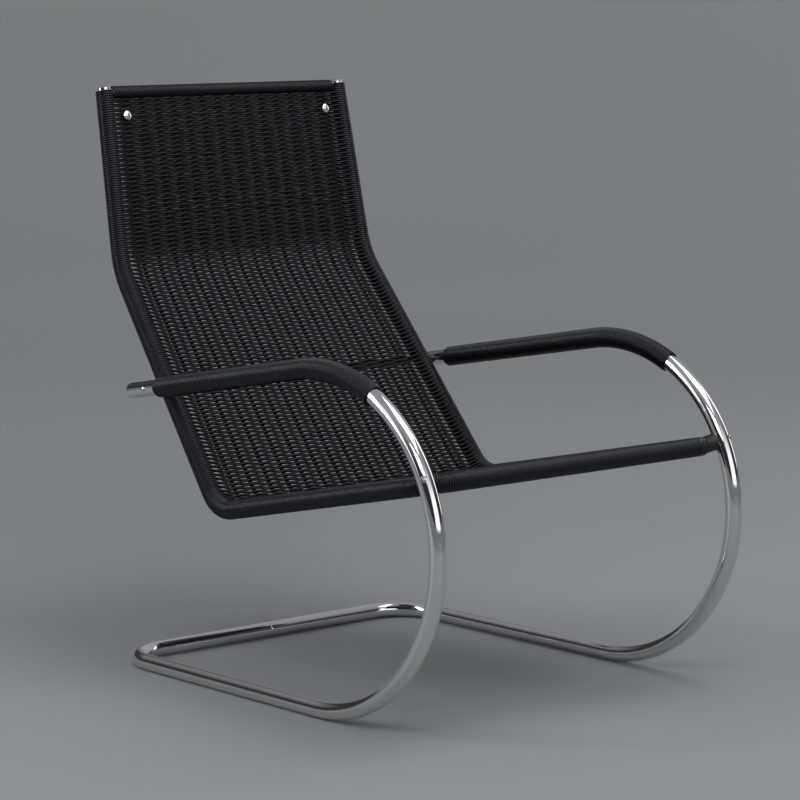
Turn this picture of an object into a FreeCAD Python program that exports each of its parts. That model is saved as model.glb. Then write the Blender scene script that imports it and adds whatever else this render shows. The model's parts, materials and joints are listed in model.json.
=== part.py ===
import FreeCAD, Part
import math
import os
import Sketcher

V = FreeCAD.Vector

# Cantilever lounge chair. The chair faces -Y and stands on z = 0; right and left are the sitter's.
# Right is -X. Lengths are millimetres and angles degrees.

SIZES = [
    ("tube_diameter", 25, "chromed tube of the cantilever frame, outside"),
    ("tube_wall", 2, "its wall"),
    ("frame_width", 586, "between the tube centres of the two side loops"),
    ("rear_corner_radius", 75, "bends between the floor runners and the rear bar"),
    ("runner_length", 497, "floor runners, from the rear bar's centre to the first bend"),
    ("lower_bend_radius", 275, "first bend of the front loop, at the floor"),
    ("lower_bend_angle", 63, ""),
    ("front_bend_radius", 235, "second bend of the front loop"),
    ("front_bend_angle", 82.5, ""),
    ("upper_bend_radius", 275, "third bend of the front loop, into the arm"),
    ("upper_bend_angle", 44, ""),
    ("arm_overrun", 41.5, "arm tube behind the point where it passes the side tube"),
    ("joint_sleeve_length", 90, "sleeve inside the butt joint of the rear bar"),
    ("joint_sleeve_wall", 1.5, "its wall"),
    ("arm_cap_height", 12.4, "dome of the arm end caps"),
    ("cap_flange", 1, "straight rim of every end cap"),
    ("cap_plug_length", 14, "part of an end cap inside its tube"),
    ("seat_tube_diameter", 22, "tube of the seat and back frame, outside"),
    ("seat_tube_wall", 2, "its wall"),
    ("seat_front_inset", 11, "side tube centre inside the loop's, at the front corner"),
    ("seat_rear_inset", 24.5, "at the bend between seat and back"),
    ("waist_inset", 47, "at the bend in the back"),
    ("top_inset", 58, "at the top ends"),
    ("front_bar_clearance", 12.2, "front bar centre behind the loops' centre line, from the side"),
    ("front_bar_angle", 26.3, "its direction from the centre of the front bend, above level"),
    ("seat_rear_reach", 231.2, "corner between seat and back, ahead of the rear bar"),
    ("seat_rear_height", 267.5, "same corner, above the floor"),
    ("waist_setback", 45.9, "corner in the back, behind the rear bar"),
    ("waist_height", 616.6, "same corner, above the floor"),
    ("top_setback", 99.6, "top ends of the side tubes, behind the rear bar"),
    ("top_height", 898.5, "same ends, above the floor"),
    ("front_corner_radius", 40, "bends of the seat tube at the front corners"),
    ("seat_bend_radius", 55, "bend between seat and back"),
    ("waist_bend_radius", 140, "bend in the back"),
    ("top_bar_diameter", 14, "cross tube at the top of the back"),
    ("top_bar_drop", 6, "its centre below the side tubes' ends, along them"),
    ("back_tube_diameter", 18, "cross tube behind the back, from arm to arm"),
    ("cross_tube_wall", 1.5, "wall of both cross tubes"),
    ("top_cap_height", 4, "dome of the side tubes' top caps"),
    ("cord_diameter", 3.6, "paper cord of the windings and the weave"),
    ("arm_bare_length", 27.5, "bare chrome between an armrest winding and the side tube's line"),
    ("arm_bare_angle", 8, "part of the third bend ahead of the armrest winding"),
    ("corner_gap", 24, "stretch of seat tube left bare for a front spacer"),
    ("weave_thickness", 10, "woven panel, weft over stakes"),
    ("fit_gap", 0.1, "play between parts that touch"),
    ("weave_gap", 0.4, "play between the woven panel and the windings"),
    ("spacer_diameter", 22, "black saddle spacers at the front"),
    ("front_bolt_diameter", 6, "bolts through the front loops"),
    ("front_bolt_length", 44, "under the head"),
    ("front_head_diameter", 10, ""),
    ("front_head_height", 2.2, ""),
    ("front_socket_width", 4, "hexagon across flats"),
    ("front_socket_depth", 1.6, ""),
    ("insert_diameter", 10, "threaded inserts in the seat tube"),
    ("insert_length", 14, ""),
    ("arm_spacer_diameter", 14, "sleeve between an arm and the back"),
    ("arm_screw_diameter", 5, ""),
    ("arm_screw_depth", 2, "its tip past the side tube's centre"),
    ("arm_head_diameter", 8, ""),
    ("arm_head_height", 2.4, ""),
    ("arm_socket_width", 3, "hexagon across flats"),
    ("arm_socket_depth", 1.6, ""),
    ("stud_inset", 34, "headrest studs inside the side tubes' top ends"),
    ("stud_drop", 44, "studs below the side tubes' ends, along them"),
    ("stud_head_diameter", 14.5, ""),
    ("stud_head_height", 4.5, ""),
    ("stud_shank_diameter", 4, ""),
    ("stud_shank_length", 16, "under the head"),
    ("stud_nut_width", 7, "hexagon across flats"),
    ("stud_nut_height", 3.2, ""),
    ("stud_washer_diameter", 16, ""),
    ("stud_washer_thickness", 1.2, ""),
]


def fill_sheet(doc):
    """The driving dimensions, one per row: meaning, value, alias."""
    sheet = doc.addObject("Spreadsheet::Sheet", "Sizes")
    for row, (alias, value, meaning) in enumerate(SIZES, start=1):
        sheet.set(f"A{row}", meaning or alias)
        sheet.set(f"B{row}", str(value))
        sheet.setAlias(f"B{row}", alias)
    doc.recompute()
    return sheet


doc = FreeCAD.newDocument("lounge_chair")
sheet = fill_sheet(doc)


def size(alias):
    return float(sheet.get(alias))


# Paths of bent tubes

def bend(before, corner, after, radius):
    """First, middle and last point of the arc that rounds one corner of a path."""
    to_before = (before - corner).normalize()
    to_after = (after - corner).normalize()
    half = to_before.getAngle(to_after) / 2
    inward = (to_before + to_after).normalize()
    reach = radius / math.tan(half)
    middle = corner + inward * (radius / math.sin(half) - radius)
    return corner + to_before * reach, middle, corner + to_after * reach


def bent_path(corners, radii):
    """Straight runs joined by tangent arcs, as a list of edges in order."""
    edges = []
    start = corners[0]
    for before, corner, after, radius in zip(corners, corners[1:], corners[2:], radii):
        first, middle, last = bend(before, corner, after, radius)
        if (first - start).Length > 0.01:
            edges.append(Part.LineSegment(start, first).toShape())
        edges.append(Part.Arc(first, middle, last).toShape())
        start = last
    edges.append(Part.LineSegment(start, corners[-1]).toShape())
    return edges


def stretch(edges, start, end):
    """The part of a path between two lengths along it."""
    cut = []
    passed = 0
    for edge in edges:
        low = max(start - passed, 0)
        high = min(end - passed, edge.Length)
        if high - low > 0.001:
            first = edge.getParameterByLength(low)
            last = edge.getParameterByLength(high)
            cut.append(edge.Curve.toShape(first, last))
        passed += edge.Length
    return cut


def rod(edges, radius):
    """A solid round rod along a path."""
    first = edges[0].FirstParameter
    ring = Part.makeCircle(radius, edges[0].valueAt(first), edges[0].tangentAt(first))
    return Part.Wire(edges).makePipeShell([Part.Wire(ring)], True, False)


def sleeve(edges, inner_radius, outer_radius):
    return rod(edges, outer_radius).cut(rod(edges, inner_radius))


def pin(start, end, radius):
    """A solid round pin from one point to another."""
    return Part.makeCylinder(radius, (end - start).Length, start, end - start)


def drill(shape, start, end, radius):
    return shape.cut(pin(start, end, radius))


def mirrored_point(point):
    return V(-point.x, point.y, point.z)


def loop_bends(rear_bar):
    """The right frame loop's three bends, each as its corner, its end and the way the tube leads on."""
    point = V(-size("frame_width") / 2, rear_bar - size("runner_length"), size("tube_diameter") / 2)
    way = V(0, -1, 0)
    heading = 0
    bends = []
    for name in ("lower", "front", "upper"):
        angle = math.radians(size(f"{name}_bend_angle"))
        tangent = size(f"{name}_bend_radius") * math.tan(angle / 2)
        corner = point + way * tangent
        heading += angle
        way = V(0, -math.cos(heading), math.sin(heading))
        point = corner + way * tangent
        bends.append((corner, point, way))
    return bends


def seat_corners(rear_bar):
    """Corners of the right half of the seat tube, from the top end to the front corner."""
    loop = -size("frame_width") / 2
    top = V(loop + size("top_inset"), rear_bar + size("top_setback"), size("top_height"))
    waist = V(loop + size("waist_inset"), rear_bar + size("waist_setback"), size("waist_height"))
    rear_side = loop + size("seat_rear_inset")
    bottom = V(rear_side, rear_bar - size("seat_rear_reach"), size("seat_rear_height"))
    end, way = loop_bends(rear_bar)[0][1:]
    centre = end + V(0, way.z, -way.y) * size("front_bend_radius")
    angle = math.radians(size("front_bar_angle"))
    ahead = V(0, -math.cos(angle), math.sin(angle))
    front = centre + ahead * (size("front_bend_radius") - size("front_bar_clearance"))
    return [top, waist, bottom, V(loop + size("seat_front_inset"), front.y, front.z)]


def arm_crossing(rear_bar):
    """The point of the right arm's axis that passes the side tube's, seen from the side."""
    top, waist, bottom, front = seat_corners(rear_bar)
    point, way = loop_bends(rear_bar)[2][1:]
    return line_meeting(point, way, bottom, waist - bottom)


def frame_path(rear_bar):
    """Centre line of the right frame tube, from the arm's rear end to the middle of the rear bar."""
    bends = loop_bends(rear_bar)
    corners = [arm_crossing(rear_bar) + bends[2][2] * size("arm_overrun")]
    corners += [corner for corner, end, way in reversed(bends)]
    height = size("tube_diameter") / 2
    corners += [V(-size("frame_width") / 2, rear_bar, height), V(0, rear_bar, height)]
    radii = [size("upper_bend_radius"), size("front_bend_radius"), size("lower_bend_radius")]
    return bent_path(corners, radii + [size("rear_corner_radius")])


def seat_path(rear_bar):
    """Centre line of the seat and back tube, from its right top end round the front to the left."""
    right = seat_corners(rear_bar)
    left = [mirrored_point(corner) for corner in reversed(right)]
    radii = [size("waist_bend_radius"), size("seat_bend_radius"), size("front_corner_radius")]
    return bent_path(right + left, radii + radii[::-1])


def line_meeting(first, first_way, second, second_way):
    """Where two lines meet in the side view; x is the first line's."""
    across = first_way.y * second_way.z - first_way.z * second_way.y
    offset = second - first
    along = (offset.y * second_way.z - offset.z * second_way.y) / across
    return first + first_way * along


def path_end(edges, at_start):
    """End point of a path and the direction that leads out of it."""
    edge = edges[0] if at_start else edges[-1]
    parameter = edge.FirstParameter if at_start else edge.LastParameter
    way = edge.tangentAt(parameter)
    return edge.valueAt(parameter), (way * -1 if at_start else way)


TUBE_RADIUS = size("tube_diameter") / 2
SEAT_RADIUS = size("seat_tube_diameter") / 2
WINDING_RADIUS = SEAT_RADIUS + size("cord_diameter")
TOP_WINDING_RADIUS = size("top_bar_diameter") / 2 + size("cord_diameter")
GAP = size("fit_gap")


def centred_rear_bar():
    """Where the rear bar lies when the whole chair is centred on the origin, front to back."""
    foremost = Part.Wire(frame_path(0)).BoundBox.YMin - TUBE_RADIUS
    end, way = path_end(seat_path(0), True)
    rearmost = end.y - GAP * way.y + WINDING_RADIUS * math.sqrt(1 - way.y ** 2)
    return -(foremost + rearmost) / 2


REAR_BAR = centred_rear_bar()
FRAME_PATH = frame_path(REAR_BAR)
SEAT_PATH = seat_path(REAR_BAR)
SEAT_CORNERS = seat_corners(REAR_BAR)
ARM_END, ARM_WAY = path_end(FRAME_PATH, True)
TOP_END, TOP_WAY = path_end(SEAT_PATH, True)
OUTWARD = V(-1, 0, 0)


def side_crossing():
    """The point of the right side tube's axis level with the arm's crossing."""
    top, waist, bottom, front = SEAT_CORNERS
    return line_meeting(bottom, waist - bottom, ARM_END, ARM_WAY)


def front_joint():
    """Middle of the seat tube's front corner, and the nearest point of the front loop."""
    seat_point = corner_edge().valueAt((corner_edge().FirstParameter + corner_edge().LastParameter) / 2)
    loop = FRAME_PATH[2].Curve
    radial = V(0, seat_point.y - loop.Center.y, seat_point.z - loop.Center.z).normalize()
    return seat_point, loop.Center + radial * loop.Radius


def corner_edge():
    """The seat tube's arc round its right front corner."""
    return SEAT_PATH[5]


ARM_POINT = arm_crossing(REAR_BAR)
SIDE_POINT = side_crossing()
CORNER_POINT, LOOP_POINT = front_joint()
BOLT_WAY = (LOOP_POINT - CORNER_POINT).normalize()
BACK_NORMAL = V(0, -TOP_WAY.z, TOP_WAY.y).normalize()
PANEL_FRONT = size("weave_thickness") / 2


def turned_to(point, way):
    """Placement that puts a turned part's own Y axis on a line, starting at a point."""
    return FreeCAD.Placement(point, FreeCAD.Rotation(V(0, 1, 0), way))


# Sub-parts made from their shape

def shaped(label, shape):
    feature = doc.addObject("Part::Feature", label)
    feature.Label = label
    feature.Shape = shape
    feature.Placement = FreeCAD.Placement()
    return feature


def mirror_copy(source, label):
    """The same piece on the other side of the chair."""
    copy = doc.addObject("Part::Mirroring", label)
    copy.Label = label
    copy.Source = source
    copy.Base = V(0, 0, 0)
    copy.Normal = V(1, 0, 0)
    return copy


def pair(source, label):
    """Two identical fasteners, right and left, as one group of separate solids."""
    group = doc.addObject("Part::Compound", label)
    group.Label = label
    group.Links = [source, mirror_copy(source, f"{label}_left")]
    return group


def joint_line(point, way, before, after):
    """Both ends of a drilling line through a point."""
    return point - way * before, point + way * after


def frame_tube():
    """Half of the cantilever frame: rear bar, runner, front loop and arm in one bent tube."""
    tube = sleeve(FRAME_PATH, TUBE_RADIUS - size("tube_wall"), TUBE_RADIUS)
    screw_hole = size("arm_screw_diameter") / 2 + GAP
    bolt_hole = size("front_bolt_diameter") / 2 + GAP
    tube = drill(tube, *joint_line(ARM_POINT, OUTWARD, 2 * TUBE_RADIUS, 2 * TUBE_RADIUS), screw_hole)
    return drill(tube, *joint_line(LOOP_POINT, BOLT_WAY, 2 * TUBE_RADIUS, 2 * TUBE_RADIUS), bolt_hole)


def seat_tube():
    """The one bent tube that frames seat and back, drilled for the inserts of its joints."""
    tube = sleeve(SEAT_PATH, SEAT_RADIUS - size("seat_tube_wall"), SEAT_RADIUS)
    hole = size("insert_diameter") / 2 + GAP
    for point, way in ((SIDE_POINT, OUTWARD), (CORNER_POINT, BOLT_WAY)):
        outside = point + way * 2 * SEAT_RADIUS
        tube = drill(tube, point, outside, hole)
        tube = drill(tube, mirrored_point(point), mirrored_point(outside), hole)
    return tube


def coped(shape, radius):
    """A cross piece cut round to both side tubes, which count as running on past their top ends."""
    above = TOP_END + TOP_WAY * 2 * TOP_WINDING_RADIUS
    shape = shape.cut(rod(SEAT_PATH, radius))
    shape = drill(shape, TOP_END, above, radius)
    return drill(shape, mirrored_point(TOP_END), mirrored_point(above), radius)


def cross_tube(point, diameter):
    """A straight tube from a point on the right to the same point on the left."""
    start, end = point, mirrored_point(point)
    bore = pin(start, end, diameter / 2 - size("cross_tube_wall"))
    return pin(start, end, diameter / 2).cut(bore)


def top_bar_point():
    return TOP_END - TOP_WAY * size("top_bar_drop")


def back_tube():
    """The tube from arm to arm behind the back, just clear of the side windings."""
    side_way = SIDE_POINT - SEAT_CORNERS[2]
    side_way = V(0, side_way.y, side_way.z).normalize()
    clearance = WINDING_RADIUS + size("back_tube_diameter") / 2 + size("weave_gap")
    behind = clearance / side_way.cross(ARM_WAY).Length
    tube = cross_tube(ARM_POINT + ARM_WAY * behind, size("back_tube_diameter"))
    arm = rod(FRAME_PATH[:1], TUBE_RADIUS + GAP)
    return tube.cut(arm).cut(arm.mirror(V(0, 0, 0), OUTWARD))


def winding(edges, tube_radius):
    return sleeve(edges, tube_radius + GAP, tube_radius + size("cord_diameter"))


def armrest_winding():
    straight, upper_bend = FRAME_PATH[:2]
    start = size("arm_overrun") + size("arm_bare_length")
    bare_share = size("arm_bare_angle") / size("upper_bend_angle")
    end = straight.Length + upper_bend.Length * (1 - bare_share)
    return winding(stretch(FRAME_PATH, start, end), TUBE_RADIUS)


def corner_length():
    """Length of the seat tube's path from its top end to the middle of the front corner."""
    return sum(edge.Length for edge in SEAT_PATH[:5]) + SEAT_PATH[5].Length / 2


def side_winding():
    """Winding of a side tube from its top to the front corner, open where joints pass through."""
    end = corner_length() - size("corner_gap") / 2
    wound = winding(stretch(SEAT_PATH, GAP, end), SEAT_RADIUS)
    opening = size("arm_spacer_diameter") / 2 + size("weave_gap")
    wound = drill(wound, SIDE_POINT, SIDE_POINT + OUTWARD * 2 * SEAT_RADIUS, opening)
    inner_side = top_bar_point()
    return drill(wound, inner_side, mirrored_point(inner_side), size("top_bar_diameter") / 2 + GAP)


def front_winding():
    start = corner_length() + size("corner_gap") / 2
    total = sum(edge.Length for edge in SEAT_PATH)
    return winding(stretch(SEAT_PATH, start, total - start), SEAT_RADIUS)


def top_winding():
    """Winding of the top bar, between the side windings and the caps above them."""
    point = top_bar_point()
    bar = [Part.LineSegment(point, mirrored_point(point)).toShape()]
    return coped(winding(bar, size("top_bar_diameter") / 2), WINDING_RADIUS + GAP)


def side_profile(ahead):
    """Seat and back seen from the side, in the middle plane, this far in front of the side tubes."""
    flat = [V(0, corner.y, corner.z) for corner in SEAT_CORNERS]
    ways = [(after - before).normalize() for before, after in zip(flat, flat[1:])]
    offsets = [V(0, way.z, -way.y) * ahead for way in ways]
    corners = [flat[0] + offsets[0]]
    for index in (1, 2):
        before = flat[index] + offsets[index - 1]
        after = flat[index] + offsets[index]
        corners.append(line_meeting(before, ways[index - 1], after, ways[index]))
    corners.append(flat[3] + offsets[2])
    return bent_path(corners, [size("waist_bend_radius") + ahead, size("seat_bend_radius") - ahead])


def woven_panel():
    """Seat and back weave: one thin curved panel between the windings."""
    front = side_profile(PANEL_FRONT)
    back = side_profile(-PANEL_FRONT)
    first = [side[0].valueAt(side[0].FirstParameter) for side in (front, back)]
    last = [side[-1].valueAt(side[-1].LastParameter) for side in (front, back)]
    ends = [Part.makeLine(*first), Part.makeLine(*last)]
    face = Part.Face(Part.Wire(Part.__sortEdges__(front + back + ends)))
    width = size("frame_width")
    face.translate(V(-width / 2, 0, 0))
    slab = face.extrude(V(width, 0, 0))
    slab = slab.cut(rod(SEAT_PATH, WINDING_RADIUS + size("weave_gap")))
    point = top_bar_point()
    slab = slab.cut(pin(point, mirrored_point(point), TOP_WINDING_RADIUS + size("weave_gap")))
    panel = max(slab.Solids, key=lambda solid: solid.Volume)
    shank = size("stud_shank_diameter") / 2 + GAP
    for stud in (stud_point(), mirrored_point(stud_point())):
        panel = drill(panel, *joint_line(stud, BACK_NORMAL, 2 * WINDING_RADIUS, 2 * WINDING_RADIUS), shank)
    return panel


def stud_point():
    """Level of the right headrest stud in the plane of the side tubes' centres."""
    on_side = TOP_END - TOP_WAY * size("stud_drop")
    return V(TOP_END.x + size("stud_inset"), on_side.y, on_side.z)


# Sub-parts made as bodies

def own_plane(body, role):
    return next(item for item in body.Origin.OriginFeatures if item.Role == role)


def new_sketch(body, name, role="XY_Plane"):
    sketch = body.newObject("Sketcher::SketchObject", name)
    sketch.AttachmentSupport = [(own_plane(body, role), "")]
    sketch.MapMode = "FlatFace"
    return sketch


def bound(sketch, constraint, expression):
    """Adds one dimension to a sketch and ties it to the sheet."""
    index = sketch.addConstraint(constraint)
    sketch.setExpression(f"Constraints[{index}]", expression)


def value_of(expression):
    return float(sheet.evalExpression(expression))


def outline_sketch(body, name, corners, domed):
    """Closed outline of radius and height expressions, none negative; it may end in an arc."""
    sketch = new_sketch(body, name)
    points = [V(value_of(across), value_of(up), 0) for across, up in corners]
    count = len(points)
    for index in range(count):
        start, end = points[index], points[(index + 1) % count]
        if domed and index == count - 2:
            sketch.addGeometry(crown(start, end), False)
            sketch.addConstraint(Sketcher.Constraint("PointOnObject", index, 3, -2))
        else:
            sketch.addGeometry(Part.LineSegment(start, end), False)
    for index in range(count):
        sketch.addConstraint(Sketcher.Constraint("Coincident", index, 2, (index + 1) % count, 1))
    for index, (across, up) in enumerate(corners):
        for kind, axis, expression in (("DistanceX", -2, across), ("DistanceY", -1, up)):
            value = value_of(expression)
            if value == 0:
                sketch.addConstraint(Sketcher.Constraint("PointOnObject", index, 1, axis))
            else:
                bound(sketch, Sketcher.Constraint(kind, -1, 1, index, 1, value), expression)
    return sketch


def crown(rim, tip):
    """Arc from a rim to a tip on the Y axis, with its centre on that axis."""
    rise = tip.y - rim.y
    radius = (rim.x ** 2 + rise ** 2) / (2 * rise)
    centre = V(0, tip.y - radius, 0)
    start = math.atan2(rim.y - centre.y, rim.x)
    return Part.ArcOfCircle(Part.Circle(centre, V(0, 0, 1), radius), start, math.pi / 2)


def turned_body(label, corners, point, way, domed=False):
    """A body turned about its own Y axis, which is then laid along a line through a point."""
    body = doc.addObject("PartDesign::Body", label)
    body.Label = label
    sketch = outline_sketch(body, f"{label}_outline", corners, domed)
    turned = body.newObject("PartDesign::Revolution", f"{label}_turned")
    turned.Profile = sketch
    turned.ReferenceAxis = (sketch, ["V_Axis"])
    turned.Angle = 360
    body.Placement = turned_to(point, way)
    doc.recompute()
    return body


def hexagon(sketch, width):
    """A regular hexagon round the sketch's origin, given by its width across flats."""
    radius = value_of(width) / math.sqrt(3)
    turns = [math.radians(60 * step) for step in range(6)]
    corners = [V(math.cos(turn), math.sin(turn), 0) * radius for turn in turns]
    for step in range(6):
        sketch.addGeometry(Part.LineSegment(corners[step], corners[(step + 1) % 6]), False)
    guide = sketch.addGeometry(Part.Circle(V(0, 0, 0), V(0, 0, 1), radius), True)
    for step in range(6):
        sketch.addConstraint(Sketcher.Constraint("Coincident", step, 2, (step + 1) % 6, 1))
        sketch.addConstraint(Sketcher.Constraint("PointOnObject", step, 1, guide))
    for step in range(1, 6):
        sketch.addConstraint(Sketcher.Constraint("Equal", 0, step))
    sketch.addConstraint(Sketcher.Constraint("Coincident", guide, 3, -1, 1))
    sketch.addConstraint(Sketcher.Constraint("PointOnObject", 0, 1, -1))
    bound(sketch, Sketcher.Constraint("Radius", guide, radius), f"{width} / sqrt(3)")


def hexagon_socket(body, label, width, depth, top):
    """A hexagon socket in the top of a turned head."""
    sketch = new_sketch(body, f"{label}_hexagon", "XZ_Plane")
    hexagon(sketch, width)
    sketch.setExpression("AttachmentOffset.Base.z", f"-({top} - {depth})")
    pocket = body.newObject("PartDesign::Pocket", f"{label}_socket")
    pocket.Profile = sketch
    pocket.setExpression("Length", f"{depth} * 2")
    before = body.Shape.Volume
    doc.recompute()
    if body.Shape.Volume >= before:
        raise ValueError(f"{label}: the socket cuts nothing")


def hexagon_nut(label, width, hole, height, point, way):
    """A hexagon nut, its own Y axis laid along a line through a point."""
    body = doc.addObject("PartDesign::Body", label)
    body.Label = label
    sketch = new_sketch(body, f"{label}_hexagon", "XZ_Plane")
    hexagon(sketch, width)
    bore = sketch.addGeometry(Part.Circle(V(0, 0, 0), V(0, 0, 1), value_of(hole)), False)
    sketch.addConstraint(Sketcher.Constraint("Coincident", bore, 3, -1, 1))
    bound(sketch, Sketcher.Constraint("Radius", bore, value_of(hole)), hole)
    pad = body.newObject("PartDesign::Pad", f"{label}_pad")
    pad.Profile = sketch
    pad.Reversed = True
    pad.setExpression("Length", height)
    body.Placement = turned_to(point, way)
    doc.recompute()
    return body


def ring_body(label, bore, outside, length, point, way):
    corners = [(bore, "0"), (outside, "0"), (outside, length), (bore, length)]
    return turned_body(label, corners, point, way)


# The pieces

def end_cap(label, tube, wall, dome, end, way):
    """Domed plug in a tube's end."""
    outside = f"{tube} / 2"
    plug = f"{outside} - {wall} - Sizes.fit_gap"
    length = "Sizes.cap_plug_length"
    rim = f"{length} + Sizes.cap_flange"
    corners = [("0", "0"), (plug, "0"), (plug, length), (outside, length), (outside, rim)]
    corners.append(("0", f"{rim} + {dome}"))
    start = end - way * (size("cap_plug_length") - GAP)
    return turned_body(label, corners, start, way, True)


def headed_pin(label, shank, length, head, height, point, way):
    """A screw or stud with a low domed head; the point is under the head."""
    radius = f"{head} / 2"
    edge = f"{length} + {height} / 2"
    corners = [("0", "0"), (f"{shank} / 2", "0"), (f"{shank} / 2", length), (radius, length)]
    corners += [(radius, edge), ("0", f"{length} + {height}")]
    return turned_body(label, corners, point - way * value_of(length), way, True)


def threaded_insert(label, bore, point, way):
    """Insert sunk in the seat tube's wall, its outer end just below the surface."""
    below_surface = math.sqrt(SEAT_RADIUS ** 2 - (size("insert_diameter") / 2) ** 2)
    inner_end = point + way * (below_surface - size("insert_length") - GAP)
    return ring_body(label, f"{bore} / 2 + Sizes.fit_gap", "Sizes.insert_diameter / 2",
                     "Sizes.insert_length", inner_end, way)


def front_spacer():
    """Black spacer between a front loop and the seat tube's corner, hollowed to both tubes."""
    body = pin(CORNER_POINT, LOOP_POINT, size("spacer_diameter") / 2)
    body = body.cut(rod(SEAT_PATH, SEAT_RADIUS + GAP))
    body = body.cut(rod(FRAME_PATH, TUBE_RADIUS + GAP))
    return drill(body, CORNER_POINT, LOOP_POINT, size("front_bolt_diameter") / 2 + GAP)


def arm_spacer():
    """Black sleeve between an arm and the side tube, hollowed to both tubes."""
    body = pin(SIDE_POINT, ARM_POINT, size("arm_spacer_diameter") / 2)
    body = body.cut(rod(SEAT_PATH, SEAT_RADIUS + GAP))
    body = body.cut(rod(FRAME_PATH, TUBE_RADIUS + GAP))
    return drill(body, SIDE_POINT, ARM_POINT, size("arm_screw_diameter") / 2 + GAP)


def build_frame():
    mirror_copy(shaped("right_frame_tube", frame_tube()), "left_frame_tube")
    bore = "Sizes.tube_diameter / 2 - Sizes.tube_wall - Sizes.fit_gap"
    start = V(-size("joint_sleeve_length") / 2, REAR_BAR, TUBE_RADIUS)
    ring_body("base_joint_sleeve", f"{bore} - Sizes.joint_sleeve_wall", bore,
              "Sizes.joint_sleeve_length", start, V(1, 0, 0))
    right = end_cap("right_arm_cap", "Sizes.tube_diameter", "Sizes.tube_wall", "Sizes.arm_cap_height",
                    ARM_END, ARM_WAY)
    mirror_copy(right, "left_arm_cap")
    mirror_copy(shaped("right_arm_winding", armrest_winding()), "left_arm_winding")


def build_seat():
    shaped("seat_frame_tube", seat_tube())
    top_bar = cross_tube(top_bar_point(), size("top_bar_diameter"))
    shaped("top_bar_tube", coped(top_bar, SEAT_RADIUS + GAP))
    shaped("back_cross_tube", back_tube())
    right = end_cap("right_top_cap", "Sizes.seat_tube_diameter", "Sizes.seat_tube_wall",
                    "Sizes.top_cap_height", TOP_END, TOP_WAY)
    mirror_copy(right, "left_top_cap")
    mirror_copy(shaped("right_side_winding", side_winding()), "left_side_winding")
    shaped("front_bar_winding", front_winding())
    shaped("top_bar_winding", top_winding())
    shaped("woven_panel", woven_panel())


def build_front_joints():
    mirror_copy(shaped("right_front_spacer", front_spacer()), "left_front_spacer")
    under_head = LOOP_POINT + BOLT_WAY * (TUBE_RADIUS + GAP)
    bolt = headed_pin("right_front_bolt", "Sizes.front_bolt_diameter", "Sizes.front_bolt_length",
                      "Sizes.front_head_diameter", "Sizes.front_head_height", under_head, BOLT_WAY)
    top = "Sizes.front_bolt_length + Sizes.front_head_height"
    hexagon_socket(bolt, "front_bolt", "Sizes.front_socket_width", "Sizes.front_socket_depth", top)
    pair(bolt, "front_bolts")
    insert = threaded_insert("right_front_insert", "Sizes.front_bolt_diameter", CORNER_POINT, BOLT_WAY)
    pair(insert, "front_inserts")


def build_arm_joints():
    mirror_copy(shaped("right_arm_spacer", arm_spacer()), "left_arm_spacer")
    under_head = ARM_POINT + OUTWARD * (TUBE_RADIUS + GAP)
    across = (SIDE_POINT - ARM_POINT).Length
    length = f"({across} + Sizes.tube_diameter / 2 + Sizes.fit_gap + Sizes.arm_screw_depth)"
    screw = headed_pin("right_arm_screw", "Sizes.arm_screw_diameter", length,
                       "Sizes.arm_head_diameter", "Sizes.arm_head_height", under_head, OUTWARD)
    top = f"{length} + Sizes.arm_head_height"
    hexagon_socket(screw, "arm_screw", "Sizes.arm_socket_width", "Sizes.arm_socket_depth", top)
    pair(screw, "arm_screws")
    insert = threaded_insert("right_arm_insert", "Sizes.arm_screw_diameter", SIDE_POINT, OUTWARD)
    pair(insert, "arm_inserts")


def build_studs():
    behind = stud_point() - BACK_NORMAL * (PANEL_FRONT + GAP)
    head = stud_point() + BACK_NORMAL * (PANEL_FRONT + GAP)
    stud = headed_pin("right_headrest_stud", "Sizes.stud_shank_diameter", "Sizes.stud_shank_length",
                      "Sizes.stud_head_diameter", "Sizes.stud_head_height", head, BACK_NORMAL)
    pair(stud, "headrest_studs")
    hole = "Sizes.stud_shank_diameter / 2 + Sizes.fit_gap"
    washer = ring_body("right_stud_washer", hole, "Sizes.stud_washer_diameter / 2",
                       "Sizes.stud_washer_thickness", behind, BACK_NORMAL * -1)
    pair(washer, "stud_washers")
    on_washer = behind - BACK_NORMAL * (size("stud_washer_thickness") + GAP)
    nut = hexagon_nut("right_stud_nut", "Sizes.stud_nut_width", hole, "Sizes.stud_nut_height",
                      on_washer, BACK_NORMAL * -1)
    pair(nut, "stud_nuts")


NODES = [
    "right_frame_tube", "left_frame_tube", "base_joint_sleeve", "right_arm_cap", "left_arm_cap",
    "right_arm_winding", "left_arm_winding", "seat_frame_tube", "top_bar_tube", "back_cross_tube",
    "right_top_cap", "left_top_cap", "right_side_winding", "left_side_winding",
    "front_bar_winding", "top_bar_winding", "woven_panel", "right_front_spacer",
    "left_front_spacer", "front_bolts", "front_inserts", "right_arm_spacer", "left_arm_spacer",
    "arm_screws", "arm_inserts", "headrest_studs", "stud_washers", "stud_nuts",
]


def check_and_write():
    """Checks every object and writes one file for each piece."""
    doc.recompute()
    for item in doc.Objects:
        if "Invalid" in item.State or "Error" in item.State:
            raise ValueError(f"{item.Name} did not compute: {item.State}")
    os.makedirs("parts", exist_ok=True)
    for label in NODES:
        shape = doc.getObjectsByLabel(label)[0].Shape
        if shape.isNull() or not shape.isValid():
            raise ValueError(f"{label} has no valid shape")
        expected = 2 if label.endswith("s") else 1
        if len(shape.Solids) != expected:
            raise ValueError(f"{label} has {len(shape.Solids)} solids")
        shape.exportStep(f"parts/{label}.step")
        print(f"{label}: {shape.Volume:.0f} mm3")


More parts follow.
